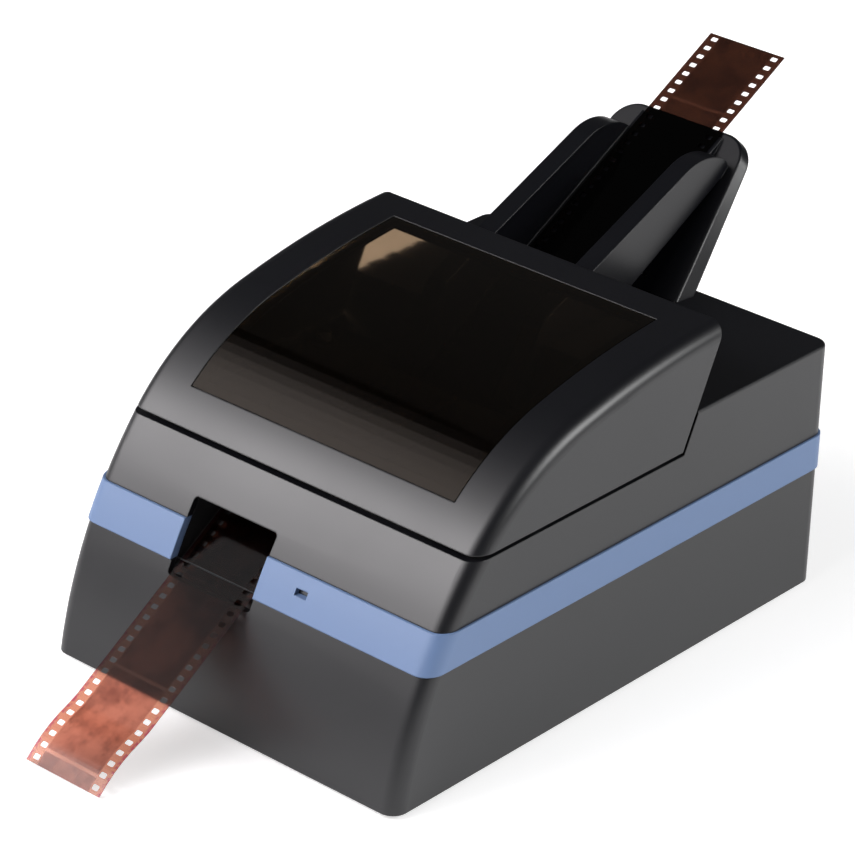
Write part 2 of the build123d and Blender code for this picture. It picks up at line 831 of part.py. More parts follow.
with BuildPart() as status_light:
    with BuildSketch(Plane.XZ.offset(-light_setback_in)):
        with Locations((light_x, up(light_height))):
            Rectangle(light_width, light_tall)
    extrude(amount=20)
    add(block_half, mode=Mode.INTERSECT)
    add(light_flange.part)
write(status_light, "status_light")

# ------------------------------------------------------------------ frame plates
drive_y = [back(exit_nip_setback), back(entrance_nip_setback)]
bush_outer = {shaft_radius: bush_radius, pinch_shaft_radius: bush_radius - 0.6}
shaft_axes = [(y, up(drive_height), shaft_radius) for y in drive_y]
shaft_axes += [(y, up(pinch_height), pinch_shaft_radius) for y in drive_y]


def frame_plate(side):
    """One of the two upright plates that carry the rollers and the film gate."""
    inner = film_x + side * frame_half
    outer = inner + side * frame_sheet
    front = back(frame_front_setback)
    rear = back(frame_rear_setback)
    with BuildPart() as plate:
        with BuildSketch(Plane.YZ.offset(min(inner, outer))):
            with BuildLine():
                Polyline(
                    (front, up(frame_floor)), (rear, up(frame_floor)), (rear, up(frame_top)),
                    (front, up(frame_top)), close=True,
                )
            make_face()
            with Locations(((front + rear) / 2, up(24.0))):
                RectangleRounded(rear - front - 26, 24.0, 4.0, mode=Mode.SUBTRACT)
            for y, z, radius in shaft_axes:
                with Locations((y, z)):
                    Circle(bush_outer[radius], mode=Mode.SUBTRACT)
        extrude(amount=frame_sheet)
        with BuildSketch(Plane.XY.offset(up(frame_floor))):
            for s in frame_screw_setbacks:
                with Locations((film_x + side * (frame_half + (frame_sheet + frame_flange) / 2), back(s))):
                    Rectangle(frame_sheet + frame_flange, 16.0)
            with Locations(*frame_screw_places):
                Circle(screw_clearance, mode=Mode.SUBTRACT)
        extrude(amount=frame_sheet)
    return plate


frame_plate_left = frame_plate(-1)
frame_plate_right = frame_plate(1)
write(frame_plate_left, "frame_plate_left")
write(frame_plate_right, "frame_plate_right")

with BuildPart() as shaft_bushes:
    for side in (-1, 1):
        for y, z, radius in shaft_axes:
            start = film_x + side * (frame_half - bush_flange)
            end = film_x + side * (frame_half + frame_sheet)
            with Locations(across(start, end, (y, z))):
                Cylinder(bush_outer[radius], abs(end - start))
            with Locations(across(start, film_x + side * frame_half, (y, z))):
                Cylinder(bush_outer[radius] + 0.9, bush_flange)
    for side in (-1, 1):
        for y, z, radius in shaft_axes:
            with Locations(across(film_x - 40, film_x + 40, (y, z))):
                Cylinder(radius + running_gap, 80, mode=Mode.SUBTRACT)
write(shaft_bushes, "shaft_bushes")

# ------------------------------------------------------------------ film gate
gate_front_setback = 66.6
gate_rear_setback = 115.6
aperture_x = 25.0
aperture_y = 37.0
gate_middle = (film_x, back((gate_front_setback + gate_rear_setback) / 2))
gate_length = gate_rear_setback - gate_front_setback

with BuildPart() as gate_lower:
    with BuildSketch(Plane.XY.offset(up(path_height - 4.2))):
        with Locations(gate_middle):
            Rectangle(2 * frame_half, gate_length)
    extrude(amount=4.0)
    with BuildSketch(Plane.XY.offset(up(path_height - 0.2))):
        with Locations((gate_middle[0] - 24.0, gate_middle[1]), (gate_middle[0] + 24.0, gate_middle[1])):
            Rectangle(12.0, gate_length)
    extrude(amount=0.8)
    chamfer(gate_lower.edges().filter_by(Axis.X).group_by(Axis.Z)[-2], 0.6)
    with BuildSketch(Plane.XY.offset(up(path_height - 5))):
        with Locations((film_x, back(lens_setback))):
            Rectangle(aperture_x, aperture_y)
    extrude(amount=6, mode=Mode.SUBTRACT)
write(gate_lower, "gate_lower")

with BuildPart() as gate_upper:
    with BuildSketch(Plane.XY.offset(up(path_height + 0.6))):
        with Locations(gate_middle):
            Rectangle(2 * frame_half, gate_length - 4)
    extrude(amount=3.0)
    with BuildSketch(Plane.XY.offset(up(path_height))):
        with Locations((film_x, back(lens_setback))):
            Rectangle(aperture_x, aperture_y)
    extrude(amount=6, mode=Mode.SUBTRACT)
    chamfer(gate_upper.edges().filter_by(Axis.X).group_by(Axis.Z)[0].sort_by(Axis.Y)[0], 1.2)
write(gate_upper, "gate_upper")

# ------------------------------------------------------------------ rollers and drive
shaft_start = film_x - frame_half - frame_sheet - 2.0
pulley_flange = 1.0
pulley_radius = 5.0
belt_thickness = 1.0
belt_gap = 0.05


def tyres(centre, outer, inner):
    """A pair of rubber rings on a shaft."""
    with BuildPart() as rings:
        for side in (-1, 1):
            middle = film_x + side * tyre_offset
            with Locations(across(middle - tyre_width / 2, middle + tyre_width / 2, centre)):
                Cylinder(outer, tyre_width)
                Cylinder(inner, tyre_width + 1, mode=Mode.SUBTRACT)
        fillet(rings.edges().filter_by(GeomType.CIRCLE).filter_by(lambda e: e.radius > outer - 0.01), 0.5)
    return rings


def toothed_wheel(centre, start, teeth, bore, tooth_angle):
    """A spur gear with straight-sided teeth, one tooth centred on tooth_angle."""
    pitch_radius = gear_module * teeth / 2
    root = pitch_radius - 1.2 * gear_module
    tip = pitch_radius + 0.9 * gear_module
    with BuildPart() as wheel:
        with BuildSketch(Plane.YZ.offset(start)):
            with Locations(centre):
                Circle(root)
                Circle(bore, mode=Mode.SUBTRACT)
            with Locations(centre):
                with PolarLocations(0, teeth, start_angle=tooth_angle):
                    Polygon(
                        (root - 0.3, -0.8), (pitch_radius, -0.52), (tip, -0.2),
                        (tip, 0.2), (pitch_radius, 0.52), (root - 0.3, 0.8), align=None,
                    )
        extrude(amount=gear_width)
    return wheel


def pulley(centre):
    """A flanged belt pulley."""
    with BuildPart() as wheel:
        with Locations(across(pulley_start, pulley_start + pulley_width, centre)):
            Cylinder(pulley_radius, pulley_width)
        for start in (pulley_start, pulley_start + pulley_width - pulley_flange):
            with Locations(across(start, start + pulley_flange, centre)):
                Cylinder(pulley_radius + 1.6, pulley_flange)
        with Locations(across(pulley_start, pulley_start + pulley_width, centre)):
            Cylinder(shaft_radius, pulley_width + 1, mode=Mode.SUBTRACT)
    return wheel


entrance_axis = (drive_y[1], up(drive_height))
exit_axis = (drive_y[0], up(drive_height))
entrance_pinch_axis = (drive_y[1], up(pinch_height))
exit_pinch_axis = (drive_y[0], up(pinch_height))

with BuildPart() as entrance_shaft:
    with Locations(across(shaft_start, shaft_end, entrance_axis)):
        Cylinder(shaft_radius, shaft_end - shaft_start)
    chamfer(entrance_shaft.edges(), 0.3)
write(entrance_shaft, "entrance_shaft")

with BuildPart() as exit_shaft:
    with Locations(across(shaft_start, pulley_start + pulley_width + 1, exit_axis)):
        Cylinder(shaft_radius, pulley_start + pulley_width + 1 - shaft_start)
    chamfer(exit_shaft.edges(), 0.3)
write(exit_shaft, "exit_shaft")

for name, centre in (("entrance_pinch_shaft", entrance_pinch_axis), ("exit_pinch_shaft", exit_pinch_axis)):
    with BuildPart() as pinch_shaft:
        with Locations(across(shaft_start, film_x + frame_half + frame_sheet + 0.8, centre)):
            Cylinder(pinch_shaft_radius, 2 * (frame_half + frame_sheet) + 2.8)
        chamfer(pinch_shaft.edges(), 0.3)
    write(pinch_shaft, name)

write(tyres(entrance_axis, drive_radius, shaft_radius), "entrance_tyres")
write(tyres(exit_axis, drive_radius, shaft_radius), "exit_tyres")
write(tyres(entrance_pinch_axis, pinch_radius, pinch_shaft_radius), "entrance_pinch_tyres")
write(tyres(exit_pinch_axis, pinch_radius, pinch_shaft_radius), "exit_pinch_tyres")
write(pulley(entrance_axis), "entrance_pulley")
write(pulley(exit_axis), "exit_pulley")

# a tooth of the gear points at the pinion, and a gap of the pinion meets it
mesh_angle = 180.0 + motor_down_angle
write(toothed_wheel(entrance_axis, gear_start, gear_teeth, shaft_radius, mesh_angle), "entrance_gear")
motor_shaft_radius = 1.5
pinion_angle = motor_down_angle + 180.0 / pinion_teeth
motor_axis = (motor_y, motor_z)
write(
    toothed_wheel(motor_axis, gear_start, pinion_teeth, motor_shaft_radius, pinion_angle),
    "motor_pinion",
)

with BuildPart() as drive_belt:
    with BuildSketch(Plane.YZ.offset(pulley_start + pulley_flange + 0.3)):
        with Locations(((exit_axis[0] + entrance_axis[0]) / 2, exit_axis[1])):
            SlotOverall(
                entrance_axis[0] - exit_axis[0] + 2 * (pulley_radius + belt_gap + belt_thickness),
                2 * (pulley_radius + belt_gap + belt_thickness),
            )
            SlotOverall(
                entrance_axis[0] - exit_axis[0] + 2 * (pulley_radius + belt_gap),
                2 * (pulley_radius + belt_gap),
                mode=Mode.SUBTRACT,
            )
    extrude(amount=pulley_width - 2 * pulley_flange - 0.6)
write(drive_belt, "drive_belt")

# ------------------------------------------------------------------ motor
motor_size = 28.0
motor_length = 30.0
motor_boss_radius = 5.5
motor_boss_length = 1.6
motor_start = bracket_x + bracket_sheet

with BuildPart() as motor_bracket:
    with BuildSketch(Plane.YZ.offset(bracket_x)):
        with Locations((motor_y, up(frame_floor) + (motor_z + 17 - up(frame_floor)) / 2)):
            RectangleRounded(34.0, motor_z + 17 - up(frame_floor), 3.0)
        with Locations(motor_axis):
            Circle(motor_boss_radius + 0.1, mode=Mode.SUBTRACT)
            with GridLocations(23.0, 23.0, 2, 2):
                Circle(1.3, mode=Mode.SUBTRACT)
        with Locations((motor_y, up(frame_floor + 1))):
            Rectangle(34.0, 2.0)
    extrude(amount=bracket_sheet)
    with BuildSketch(Plane.XY.offset(up(frame_floor))):
        with Locations((bracket_x + 6.0, motor_y)):
            Rectangle(12.0, 34.0)
        with Locations(*bracket_places):
            Circle(screw_clearance, mode=Mode.SUBTRACT)
    extrude(amount=bracket_sheet)
write(motor_bracket, "motor_bracket")

with BuildPart() as drive_motor:
    with BuildSketch(Plane.YZ.offset(motor_start)):
        with Locations(motor_axis):
            Rectangle(motor_size, motor_size)
    extrude(amount=motor_length)
    chamfer(drive_motor.edges().filter_by(Axis.X), 2.0)
    with Locations(across(motor_start - motor_boss_length, motor_start, motor_axis)):
        Cylinder(motor_boss_radius, motor_boss_length)
    with Locations(across(motor_start - motor_boss_length, motor_start, motor_axis)):
        Cylinder(motor_shaft_radius + running_gap, motor_boss_length + 6, mode=Mode.SUBTRACT)
write(drive_motor, "drive_motor")

with BuildPart() as motor_shaft:
    with Locations(across(gear_start - 0.5, motor_start + 2, motor_axis)):
        Cylinder(motor_shaft_radius, motor_start + 2.5 - gear_start)
write(motor_shaft, "motor_shaft")

with BuildPart() as motor_screws:
    for dy in (-11.5, 11.5):
        for dz in (-11.5, 11.5):
            place = (motor_y + dy, motor_z + dz)
            with Locations(across(bracket_x - 1.4, bracket_x, place)):
                Cylinder(2.2, 1.4)
            with Locations(across(bracket_x, motor_start, place)):
                Cylinder(1.3, bracket_sheet)
write(motor_screws, "motor_screws")

# ------------------------------------------------------------------ lens and sensor
lens_place = (film_x, back(lens_setback))
sensor_board_size = 42.0

with BuildPart() as sensor_board:
    with BuildSketch(Plane.XY.offset(up(sensor_height))):
        with Locations(lens_place):
            Rectangle(sensor_board_size, sensor_board_size)
        with Locations(*sensor_posts):
            Circle(1.3, mode=Mode.SUBTRACT)
    extrude(amount=board_thickness)
    with BuildSketch(Plane.XY.offset(up(sensor_height + board_thickness))):
        with Locations(lens_place):
            Rectangle(14.0, 12.0)
    extrude(amount=1.4)
write(sensor_board, "sensor_board")

camera_low = sensor_height + board_thickness
camera_height = 14.0
camera_half = 13.0
with BuildPart() as lens_holder:
    with BuildSketch(Plane.XY.offset(up(camera_low))):
        with Locations(lens_place):
            RectangleRounded(2 * camera_half, 2 * camera_half, 3.0)
    extrude(amount=camera_height)
    with BuildSketch(Plane.XY.offset(up(camera_low))):
        with Locations(lens_place):
            Rectangle(2 * camera_half - 4, 2 * camera_half - 4)
    extrude(amount=camera_height - 2.0, mode=Mode.SUBTRACT)
    with BuildSketch(Plane.XY.offset(up(camera_low + camera_height))):
        with Locations(lens_place):
            Circle(10.6)
    extrude(amount=7.0)
    with BuildSketch(Plane.XY.offset(up(camera_low + camera_height - 3))):
        with Locations(lens_place):
            Circle(9.0)
    extrude(amount=12.0, mode=Mode.SUBTRACT)
write(lens_holder, "lens_holder")

lens_low = camera_low + camera_height - 1.0
with BuildPart() as lens_barrel:
    with BuildSketch(Plane.XY.offset(up(lens_low))):
        with Locations(lens_place):
            Circle(9.0)
    extrude(amount=22.0)
    with BuildSketch(Plane.XY.offset(up(lens_low + 10.5))):
        with Locations(lens_place):
            Circle(10.6)
    extrude(amount=9.0)
    with BuildSketch(Plane.XY.offset(up(lens_low + 22.0))):
        with Locations(lens_place):
            Circle(7.2)
    extrude(amount=-3.0, mode=Mode.SUBTRACT)
write(lens_barrel, "lens_barrel")

with BuildPart() as front_lens:
    with BuildSketch(Plane.XY.offset(up(lens_low + 19.0))):
        with Locations(lens_place):
            Circle(7.2)
    extrude(amount=2.0)
    fillet(front_lens.edges().group_by(Axis.Z)[-1], 1.2)
write(front_lens, "front_lens")

with BuildPart() as sensor_screws:
    for x, y in sensor_posts:
        with Locations((x, y, up(sensor_height + board_thickness + 0.7))):
            Cylinder(2.4, 1.4)
        with Locations((x, y, up(sensor_height + board_thickness / 2))):
            Cylinder(1.3, board_thickness)
write(sensor_screws, "sensor_screws")

# ------------------------------------------------------------------ lamp above the gate
lamp_low = tray_low + tray_thickness
lamp_height = 11.0
lamp_half_x = 23.0
lamp_half_y = 26.0
with BuildPart() as lamp_cover:
    with BuildSketch(Plane.XY.offset(up(lamp_low))):
        with Locations(lens_place):
            RectangleRounded(2 * lamp_half_x, 2 * lamp_half_y, 4.0)
    extrude(amount=lamp_height)
    fillet(lamp_cover.edges().group_by(Axis.Z)[-1], 1.5)
    with BuildSketch(Plane.XY.offset(up(lamp_low))):
        with Locations(lens_place):
            Rectangle(2 * lamp_half_x - 4, 2 * lamp_half_y - 4)
    extrude(amount=lamp_height - 2.0, mode=Mode.SUBTRACT)
    with BuildSketch(Plane.XY.offset(up(lamp_low + lamp_height - 3))):
        with Locations(lens_place):
            with GridLocations(6.0, 0, 5, 1):
                SlotOverall(24.0, 2.4, rotation=90)
    extrude(amount=4.0, mode=Mode.SUBTRACT)
write(lamp_cover, "lamp_cover")

with BuildPart() as diffuser:
    with BuildSketch(Plane.XY.offset(up(lamp_low))):
        with Locations(lens_place):
            Rectangle(2 * lamp_half_x - 4.4, 2 * lamp_half_y - 4.4)
    extrude(amount=2.0)
write(diffuser, "diffuser")

with BuildPart() as lamp_board:
    with BuildSketch(Plane.XY.offset(up(lamp_low + lamp_height - 2.0 - board_thickness))):
        with Locations(lens_place):
            Rectangle(2 * lamp_half_x - 4.4, 2 * lamp_half_y - 4.4)
    extrude(amount=board_thickness)
    with BuildSketch(Plane.XY.offset(up(lamp_low + lamp_height - 2.0 - board_thickness))):
        with Locations(lens_place):
            with GridLocations(10.0, 10.0, 3, 4):
                Rectangle(3.5, 2.8)
    extrude(amount=-1.0)
write(lamp_board, "lamp_board")

# ------------------------------------------------------------------ main board and sockets
board_front = back(146.0)
board_rear = rear_y - wall - 1.0
board_side = 18.8
board_half = half_width - board_side
board_top = board_height + board_thickness

with BuildPart() as main_board:
    with BuildSketch(Plane.XY.offset(up(board_height))):
        with Locations((0, (board_front + board_rear) / 2)):
            Rectangle(2 * board_half, board_rear - board_front)
        with Locations(*board_posts):
            Circle(screw_clearance, mode=Mode.SUBTRACT)
    extrude(amount=board_thickness)
write(main_board, "main_board")

chips = [
    (-20.0, 168.0, 18.0, 18.0, 2.4), (8.0, 168.0, 12.0, 12.0, 2.0), (32.0, 166.0, 10.0, 16.0, 2.0),
    (-40.0, 186.0, 10.0, 8.0, 4.0), (-14.0, 198.0, 8.0, 14.0, 3.0), (6.0, 198.0, 12.0, 12.0, 7.0),
]
with BuildPart() as board_chips:
    with BuildSketch(Plane.XY.offset(up(board_top))):
        for x, s, wide, long, tall in chips:
            with Locations((x, back(s))):
                Rectangle(wide, long)
    extrude(amount=2.2)
    with BuildSketch(Plane.XY.offset(up(board_top))):
        with Locations((44.0, back(176.0)), (44.0, back(190.0)), (-48.0, back(160.0))):
            Circle(4.0)
    extrude(amount=11.0)
write(board_chips, "board_chips")

with BuildPart() as usb_socket:
    with BuildSketch(Plane.XZ.offset(-rear_y + 0.4)):
        with Locations((usb_x, up(board_top + 5.45))):
            Rectangle(12.0, 10.9)
    extrude(amount=16.0)
    with BuildSketch(Plane.XZ.offset(-rear_y + 0.4)):
        with Locations((usb_x, up(board_top + 5.45))):
            Rectangle(8.4, 7.8)
            with Locations((0, 0.3)):
                Rectangle(5.6, 3.2, mode=Mode.SUBTRACT)
    extrude(amount=9.0, mode=Mode.SUBTRACT)
write(usb_socket, "usb_socket")

with BuildPart() as power_jack:
    with BuildSketch(Plane.XZ.offset(-rear_y + wall + 0.2)):
        with Locations((jack_x, up(board_top + 5.5))):
            Rectangle(9.0, 11.0)
    extrude(amount=12.0)
    with BuildSketch(Plane.XZ.offset(-rear_y + 0.3)):
        with Locations((jack_x, up(board_top + 5.5))):
            Circle(4.1)
    extrude(amount=wall + 1)
    with BuildSketch(Plane.XZ.offset(-rear_y + 0.3)):
        with Locations((jack_x, up(board_top + 5.5))):
            Circle(3.1)
            Circle(1.0, mode=Mode.SUBTRACT)
    extrude(amount=10.0, mode=Mode.SUBTRACT)
write(power_jack, "power_jack")

with BuildPart() as board_screws:
    for x, y in board_posts:
        with Locations((x, y, up(board_top + 0.9))):
            Cylinder(screw_head_radius, 1.8)
        with Locations((x, y, up(board_top - board_thickness / 2))):
            Cylinder(screw_radius, board_thickness)
write(board_screws, "board_screws")

# a flat cable from the sensor to the main board
cable_thickness = 0.4
cable_y = [back(lens_setback) + sensor_board_size / 2 - 4, board_front + 7]
cable_low = [up(sensor_height + board_thickness), up(board_top)]
with BuildPart() as sensor_cable:
    with BuildSketch(Plane.YZ.offset(film_x - 8)):
        with BuildLine():
            Polyline(
                (cable_y[0], cable_low[0]), (cable_y[0] + 8, cable_low[0]),
                (cable_y[0] + 14, cable_low[0] + 2.0), (cable_y[1] - 12, cable_low[0] + 2.0),
                (cable_y[1] - 6, cable_low[1]), (cable_y[1], cable_low[1]),
                (cable_y[1], cable_low[1] + cable_thickness),
                (cable_y[1] - 5.8, cable_low[1] + cable_thickness),
                (cable_y[1] - 11.8, cable_low[0] + 2.0 + cable_thickness),
                (cable_y[0] + 13.8, cable_low[0] + 2.0 + cable_thickness),
                (cable_y[0] + 7.8, cable_low[0] + cable_thickness),
                (cable_y[0], cable_low[0] + cable_thickness), close=True,
            )
        make_face()
    extrude(amount=16.0)
write(sensor_cable, "sensor_cable")

# ------------------------------------------------------------------ power switch
switch_bezel = 1.2
rocker_half_x = 6.0
rocker_tilt = 10.0
rocker_gap = 0.4
rocker_tall = 9.0
rocker_pivot = (rear_y - 1.2, up(switch_height))

with BuildPart() as switch_body:
    with BuildSketch(Plane.XZ.offset(-rear_y - switch_bezel)):
        with Locations((switch_x, up(switch_height))):
            RectangleRounded(switch_width + 3, switch_tall + 3, 1.0)
    extrude(amount=switch_bezel)
    with BuildSketch(Plane.XZ.offset(-rear_y)):
        with Locations((switch_x, up(switch_height))):
            Rectangle(switch_width - 0.1, switch_tall - 0.1)
    extrude(amount=14.0)
    with BuildSketch(Plane.XZ.offset(-rear_y - switch_bezel)):
        with Locations((switch_x, up(switch_height))):
            Rectangle(2 * (rocker_half_x + rocker_gap), rocker_tall + 2 * rocker_gap + 0.6)
    extrude(amount=11.0, mode=Mode.SUBTRACT)
    with Locations(across(switch_x - 8, switch_x + 8, rocker_pivot)):
        Cylinder(1.0, 16, mode=Mode.SUBTRACT)
write(switch_body, "switch_body")

with BuildPart() as power_rocker:
    with BuildSketch(Plane.YZ.offset(switch_x - rocker_half_x)):
        with Locations(Location((rocker_pivot[0], rocker_pivot[1]), -rocker_tilt)):
            Polygon(
                (3.6, -rocker_tall / 2 + 0.4), (2.2, 0.0), (3.6, rocker_tall / 2 - 0.4),
                (0.0, rocker_tall / 2), (-4.0, rocker_tall / 2 - 1.2),
                (-4.0, -rocker_tall / 2 + 1.2), (0.0, -rocker_tall / 2), align=None,
            )
    extrude(amount=2 * rocker_half_x)
    with Locations(across(switch_x - 8, switch_x + 8, rocker_pivot)):
        Cylinder(0.95, 2 * rocker_half_x + 1.8)
write(power_rocker, "power_rocker")

# ------------------------------------------------------------------ feet and screws
with BuildPart() as rubber_feet:
    with BuildSketch(Plane.XY):
        with Locations(*foot_places):
            Circle(foot_radius)
    extrude(amount=foot_height + foot_recess)
    fillet(rubber_feet.edges().group_by(Axis.Z)[0], 0.8)
write(rubber_feet, "rubber_feet")

with BuildPart() as case_screws:
    for x, y in boss_places:
        head_z = up(counterbore_depth - screw_head_height / 2)
        with Locations((x, y, head_z)):
            Cylinder(screw_head_radius, screw_head_height)
        with Locations((x, y, up(counterbore_depth + 17.0))):
            Cylinder(screw_radius, 34.0)
    with BuildSketch(Plane.XY.offset(up(counterbore_depth - screw_head_height))):
        with Locations(*boss_places):
            Rectangle(3.4, 0.8)
            Rectangle(0.8, 3.4)
    extrude(amount=1.2, mode=Mode.SUBTRACT)
write(case_screws, "case_screws")

with BuildPart() as tray_screws:
    for x, y in tray_screw_places:
        with Locations((x, y, up(tray_low + tray_thickness + 0.9))):
            Cylinder(screw_head_radius, 1.8)
        with Locations((x, y, up(tray_low + tray_thickness - 3.5))):
            Cylinder(screw_radius, 7.0)
    with BuildSketch(Plane.XY.offset(up(tray_low + tray_thickness + 0.8))):
        with Locations(*tray_screw_places):
            Rectangle(3.4, 0.8)
            Rectangle(0.8, 3.4)
    extrude(amount=1.2, mode=Mode.SUBTRACT)
write(tray_screws, "tray_screws")

with BuildPart() as frame_screws:
    for x, y in frame_screw_places + bracket_places:
        with Locations((x, y, up(frame_floor + frame_sheet + 0.9))):
            Cylinder(screw_head_radius, 1.8)
        with Locations((x, y, up(frame_floor + frame_sheet - 2.5))):
            Cylinder(screw_radius, 5.0)
write(frame_screws, "frame_screws")

with BuildPart() as chute_screws:
    for x, y in chute_screw_places:
        with Locations((x, y, up(deck_height - wall - 0.9))):
            Cylinder(screw_head_radius, 1.8)
        with Locations((x, y, up(deck_height - wall + 3.0))):
            Cylinder(screw_radius, 6.0)
write(chute_screws, "chute_screws")
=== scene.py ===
# %% [markdown]
# # A film negative scanner, dressed in Blender
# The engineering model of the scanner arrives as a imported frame: every solid is there,
# at its real size and in its real place.  This lesson gives those solids their finishes,
# swaps the two plain strips for real perforated film, and sets up a soft studio picture.
# All lengths are metres.  +X is the scanner's right, +Y its back and +Z is up.

# %% Load the frame
import math

import bmesh
import bpy
from mathutils import Euler, Matrix, Vector


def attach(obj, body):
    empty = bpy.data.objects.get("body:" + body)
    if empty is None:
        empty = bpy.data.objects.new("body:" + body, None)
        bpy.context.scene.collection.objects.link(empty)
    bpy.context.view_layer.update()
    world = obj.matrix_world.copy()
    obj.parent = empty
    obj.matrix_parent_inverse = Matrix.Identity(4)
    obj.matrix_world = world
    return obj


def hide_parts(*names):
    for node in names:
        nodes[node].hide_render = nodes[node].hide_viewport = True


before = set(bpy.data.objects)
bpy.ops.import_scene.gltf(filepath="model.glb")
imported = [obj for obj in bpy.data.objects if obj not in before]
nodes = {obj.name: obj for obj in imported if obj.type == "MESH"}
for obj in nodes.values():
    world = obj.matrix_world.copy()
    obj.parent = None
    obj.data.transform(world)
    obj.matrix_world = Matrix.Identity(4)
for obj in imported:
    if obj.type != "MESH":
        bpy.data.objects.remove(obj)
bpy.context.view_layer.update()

# %% [markdown]
# ## A short way to write shader maths
# A material is a network of nodes.  Wiring each Math node by hand hides the idea behind
# the wiring, so one small class stands for a value that flows through the network.  Sums
# written with it add the Math nodes themselves.  Every other kind of node comes from one
# method that takes the node's type, its settings and the values of its sockets.

# %% The value class
class Value:
    """A number that varies over a surface; sums on it become Math nodes."""

    def __init__(self, tree, socket):
        self.tree = tree
        self.socket = socket

    def sum(self, operation, *terms):
        node = self.tree.nodes.new("ShaderNodeMath")
        node.operation = operation
        for entry, term in zip(node.inputs, terms):
            if isinstance(term, Value):
                self.tree.links.new(term.socket, entry)
            else:
                entry.default_value = float(term)
        return Value(self.tree, node.outputs[0])

    def __add__(self, other):
        return self.sum("ADD", self, other)

    def __radd__(self, other):
        return self.sum("ADD", other, self)

    def __sub__(self, other):
        return self.sum("SUBTRACT", self, other)

    def __rsub__(self, other):
        return self.sum("SUBTRACT", other, self)

    def __mul__(self, other):
        return self.sum("MULTIPLY", self, other)

    def __rmul__(self, other):
        return self.sum("MULTIPLY", other, self)

    def size(self):
        return self.sum("ABSOLUTE", self)

    def most(self, other):
        return self.sum("MAXIMUM", self, other)

    def repeat(self, length):
        return self.sum("FLOORED_MODULO", self, length)

    def step(self, start, end):
        """0 before start, 1 after end, and a smooth rise between them."""
        node = self.tree.nodes.new("ShaderNodeMapRange")
        node.interpolation_type = "SMOOTHSTEP"
        self.tree.links.new(self.socket, node.inputs["Value"])
        node.inputs["From Min"].default_value = start
        node.inputs["From Max"].default_value = end
        return Value(self.tree, node.outputs["Result"])


# %% The finish class
class Finish:
    """One material, with short calls for its nodes."""

    def __init__(self, name):
        self.material = bpy.data.materials.new(name)
        self.material.use_nodes = True
        self.tree = self.material.node_tree
        self.shader = self.tree.nodes["Principled BSDF"]

    def add(self, kind, settings=None, inputs=None, output=0):
        """Adds any node: settings first, then the values or links of its sockets."""
        node = self.tree.nodes.new(kind)
        for key, value in (settings or {}).items():
            if key == "stops":
                ramp = node.color_ramp
                while len(ramp.elements) < len(value):
                    ramp.elements.new(0.5)
                for element, (place, colour) in zip(ramp.elements, value):
                    element.position = place
                    element.color = (*colour, 1.0)
            else:
                setattr(node, key, value)
        for key, value in (inputs or {}).items():
            self.feed(node.inputs[key], value)
        return Value(self.tree, node.outputs[output])

    def feed(self, entry, value):
        if isinstance(value, Value):
            self.tree.links.new(value.socket, entry)
        else:
            entry.default_value = value

    def set(self, **inputs):
        """Sets the shader's own sockets; underscores stand for spaces."""
        for key, value in inputs.items():
            self.feed(self.shader.inputs[key.replace("_", " ")], value)
        return self

    def place(self):
        """The surface point, in metres, in the piece's own space."""
        return self.add("ShaderNodeTexCoord", output=3)

    def noise(self, scale, detail=2.0, roughness=0.5, at=None):
        vector = at or self.place()
        inputs = {"Vector": vector, "Scale": scale, "Detail": detail, "Roughness": roughness}
        return self.add("ShaderNodeTexNoise", {"normalize": True}, inputs)

    def blend(self, mask, first, second):
        """The first colour where the mask is 0, the second where it is 1."""
        node = self.tree.nodes.new("ShaderNodeMix")
        node.data_type = "RGBA"
        self.feed(node.inputs[0], mask)
        for entry, colour in ((node.inputs[6], first), (node.inputs[7], second)):
            self.feed(entry, colour if isinstance(colour, Value) else (*colour, 1.0))
        return Value(self.tree, node.outputs[2])

    def bump(self, height, distance, strength=1.0):
        inputs = {"Height": height, "Distance": distance, "Strength": strength}
        normal = self.add("ShaderNodeBump", None, inputs)
        self.tree.links.new(normal.socket, self.shader.inputs["Normal"])
        return normal


def dress(names, finish):
    """Gives CAD nodes a finish in place of the plain one they came with."""
    for name in names:
        data = nodes[name].data
        data.materials.clear()
        data.materials.append(finish.material)
        for face in data.polygons:
            face.material_index = 0


# %% [markdown]
# ## Moulded plastic
# The case is injection-moulded plastic.  Its mould was spark-eroded, which leaves an even
# grain far finer than a millimetre: it turns the mirror of bare plastic into a soft sheen.
# The grain is a bump of fine noise.  A second, wide noise shifts the roughness a little,
# as the shine of a large moulding is never quite even.  A Bevel node turns the normals
# near an edge, so that each moulded edge catches the light as a small radius would.

# %% Plastic finishes
EDGE_RADIUS = 0.0006
CASE_BLACK = (0.0026, 0.0028, 0.0042)
BAND_BLUE = (0.135, 0.21, 0.375)


def moulded(name, colour, roughness, grain=2600.0, depth=0.00002, lift=1.5):
    finish = Finish(name)
    fine = finish.noise(grain, 2.0)
    cloud = finish.noise(26.0, 3.0)
    lighter = tuple(min(1.0, c * lift + 0.0005) for c in colour)
    finish.set(
        Base_Color=finish.blend(cloud * 0.35 + fine * 0.3, colour, lighter),
        Roughness=roughness - 0.03 + cloud * 0.06 + fine * 0.05,
    )
    rounded = finish.add("ShaderNodeBevel", {"samples": 4}, {"Radius": EDGE_RADIUS})
    normal = finish.bump(fine, depth, 0.35)
    finish.feed(normal.socket.node.inputs["Normal"], rounded)
    return finish


